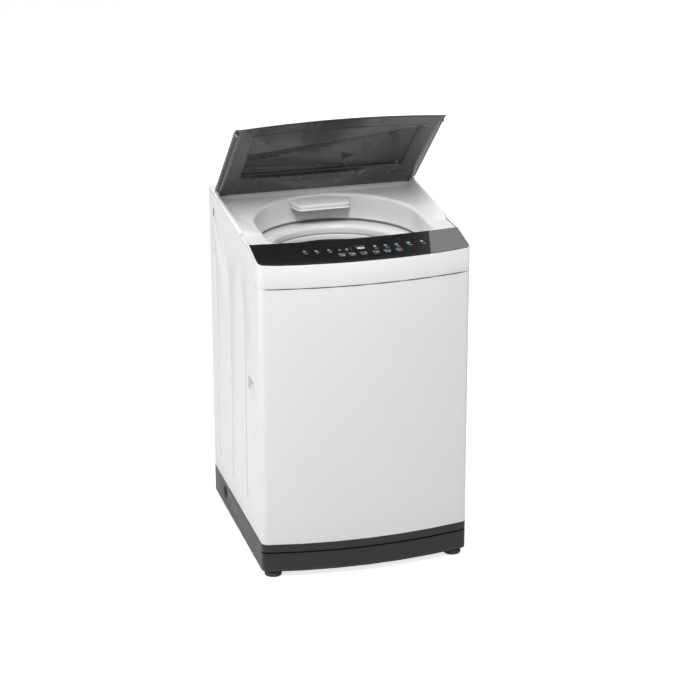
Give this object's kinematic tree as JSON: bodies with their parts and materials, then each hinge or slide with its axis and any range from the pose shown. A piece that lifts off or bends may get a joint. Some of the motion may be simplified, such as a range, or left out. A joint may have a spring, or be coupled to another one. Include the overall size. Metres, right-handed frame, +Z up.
{
  "type": "top load washing machine",
  "caption": "Upright top loading washer with bowed front, sloping control panel, tilting framed glass lid, loading funnel, suspended tub, spin basket and dark base.",
  "frame": {"origin": "on the floor, in the middle of the plan box, lid part of the way open", "axes": "+X to the right seen from the front, +Y to the back, +Z up"},
  "size_m": [0.55, 0.6, 1.1511],
  "materials": {
    "white_sheet": "white powder coat, satin",
    "white_plastic": "white moulded plastic, satin gloss",
    "panel_black": "near-black film over clear plastic, high gloss",
    "panel_grey": "dark grey, satin gloss",
    "lid_plastic": "dark grey moulded plastic, glossy",
    "tinted_glass": "dark tinted tempered glass, polished",
    "base_plastic": "dark grey moulded plastic, fine satin",
    "tub_plastic": "pale grey moulded plastic",
    "black_plastic": "black plastic, matt",
    "steel": "zinc plated steel",
    "drum_steel": "polished stainless sheet",
    "aluminium": "die cast, as cast",
    "rubber": "black rubber, matt",
    "circuit_board": "green solder mask"
  },
  "bodies": {
    "cabinet": {"cabinet_wrap": "white_sheet", "rear_panel": "white_sheet", "cord_gland": "black_plastic", "base_frame": "base_plastic", "drain_outlet": "black_plastic", "top_frame": "white_plastic", "control_panel": "panel_black", "panel_end_section": "panel_grey", "control_board": "circuit_board", "water_box": "white_plastic", "inlet_valve": "white_plastic", "inlet_hose": "black_plastic", "level_sensor": "black_plastic", "lid_switch": "white_plastic", "run_capacitor": "aluminium", "foot_rear_left": "rubber", "foot_rear_right": "rubber", "hinge_pin_left": "steel", "hinge_pin_right": "steel", "suspension_rod_front_left": "steel", "suspension_rod_front_right": "steel", "suspension_rod_rear_left": "steel", "suspension_rod_rear_right": "steel"},
    "lid": {"lid_frame": "lid_plastic", "lid_glass": "tinted_glass", "lid_bumper_left": "rubber", "lid_bumper_right": "rubber"},
    "front_foot_left": {"foot_front_left": "rubber"},
    "front_foot_right": {"foot_front_right": "rubber"},
    "tub_unit": {"outer_tub": "tub_plastic", "tub_cover": "tub_plastic", "mounting_plate": "steel", "gearbox_housing": "aluminium", "shaft_bearing": "steel", "shaft_seal": "rubber", "motor_housing": "aluminium", "drive_belt": "rubber", "drain_valve": "white_plastic", "drain_motor": "black_plastic", "drain_hose": "black_plastic", "air_tube": "black_plastic", "damper_cup_front_left": "black_plastic", "damper_cup_front_right": "black_plastic", "damper_cup_rear_left": "black_plastic", "damper_cup_rear_right": "black_plastic", "suspension_spring_front_left": "steel", "suspension_spring_front_right": "steel", "suspension_spring_rear_left": "steel", "suspension_spring_rear_right": "steel"},
    "basket": {"spin_basket": "drum_steel", "balance_ring": "white_plastic", "hub_flange": "aluminium", "lint_filter": "white_plastic"},
    "pulsator_unit": {"pulsator": "tub_plastic"},
    "pulley": {"drive_pulley": "aluminium"},
    "motor": {"motor_rotor": "steel"},
    "plunger": {"valve_plunger": "rubber"},
    "lever": {"brake_lever": "steel"}
  },
  "joints": [
    {"name": "lid_hinge", "type": "hinge", "parent": "cabinet", "child": "lid", "pos_m": [0, 0.211, 0.893], "axis": [-1, 0, 0], "range_deg": [-45.1, 50]},
    {"name": "front_foot_left_level", "type": "slide", "parent": "cabinet", "child": "front_foot_left", "axis": [0, 0, -1], "range_m": [0, 0.012]},
    {"name": "front_foot_right_level", "type": "slide", "parent": "cabinet", "child": "front_foot_right", "axis": [0, 0, -1], "range_m": [0, 0.012]},
    {"name": "tub_bounce", "type": "slide", "parent": "cabinet", "child": "tub_unit", "axis": [0, 0, 1], "range_m": [-0.03, 0.006], "stiffness_N_per_m": 16000, "springref_m": 0.01583, "deforming": ["suspension_spring_front_left", "suspension_spring_front_right", "suspension_spring_rear_left", "suspension_spring_rear_right", "drain_hose", "air_tube"]},
    {"name": "basket_spin", "type": "hinge", "parent": "tub_unit", "child": "basket", "pos_m": [0, -0.008, 0.5], "axis": [0, 0, 1], "continuous": true},
    {"name": "pulsator_spin", "type": "hinge", "parent": "tub_unit", "child": "pulsator_unit", "pos_m": [0, -0.008, 0.25], "axis": [0, 0, 1], "continuous": true},
    {"name": "pulley_spin", "type": "hinge", "parent": "tub_unit", "child": "pulley", "pos_m": [0, -0.008, 0.105], "axis": [0, 0, 1], "continuous": true},
    {"name": "motor_spin", "type": "hinge", "parent": "tub_unit", "child": "motor", "pos_m": [0, 0.132, 0.105], "axis": [0, 0, 1], "continuous": true},
    {"name": "drain_pull", "type": "slide", "parent": "tub_unit", "child": "plunger", "axis": [1, 0, 0], "range_m": [0, 0.012], "stiffness_N_per_m": 600, "springref_m": -0.004},
    {"name": "brake_lever_turn", "type": "hinge", "parent": "tub_unit", "child": "lever", "pos_m": [-0.072, 0.016, 0.152], "axis": [0, 0, 1], "range_deg": [-10.4, 0]}
  ],
  "couplings": [
    {"joint": "pulley_spin", "follows": "pulsator_spin", "ratio": 5.2},
    {"joint": "motor_spin", "follows": "pulsator_spin", "ratio": 14.8},
    {"joint": "brake_lever_turn", "follows": "drain_pull", "rad_per_m": -15}
  ]
}
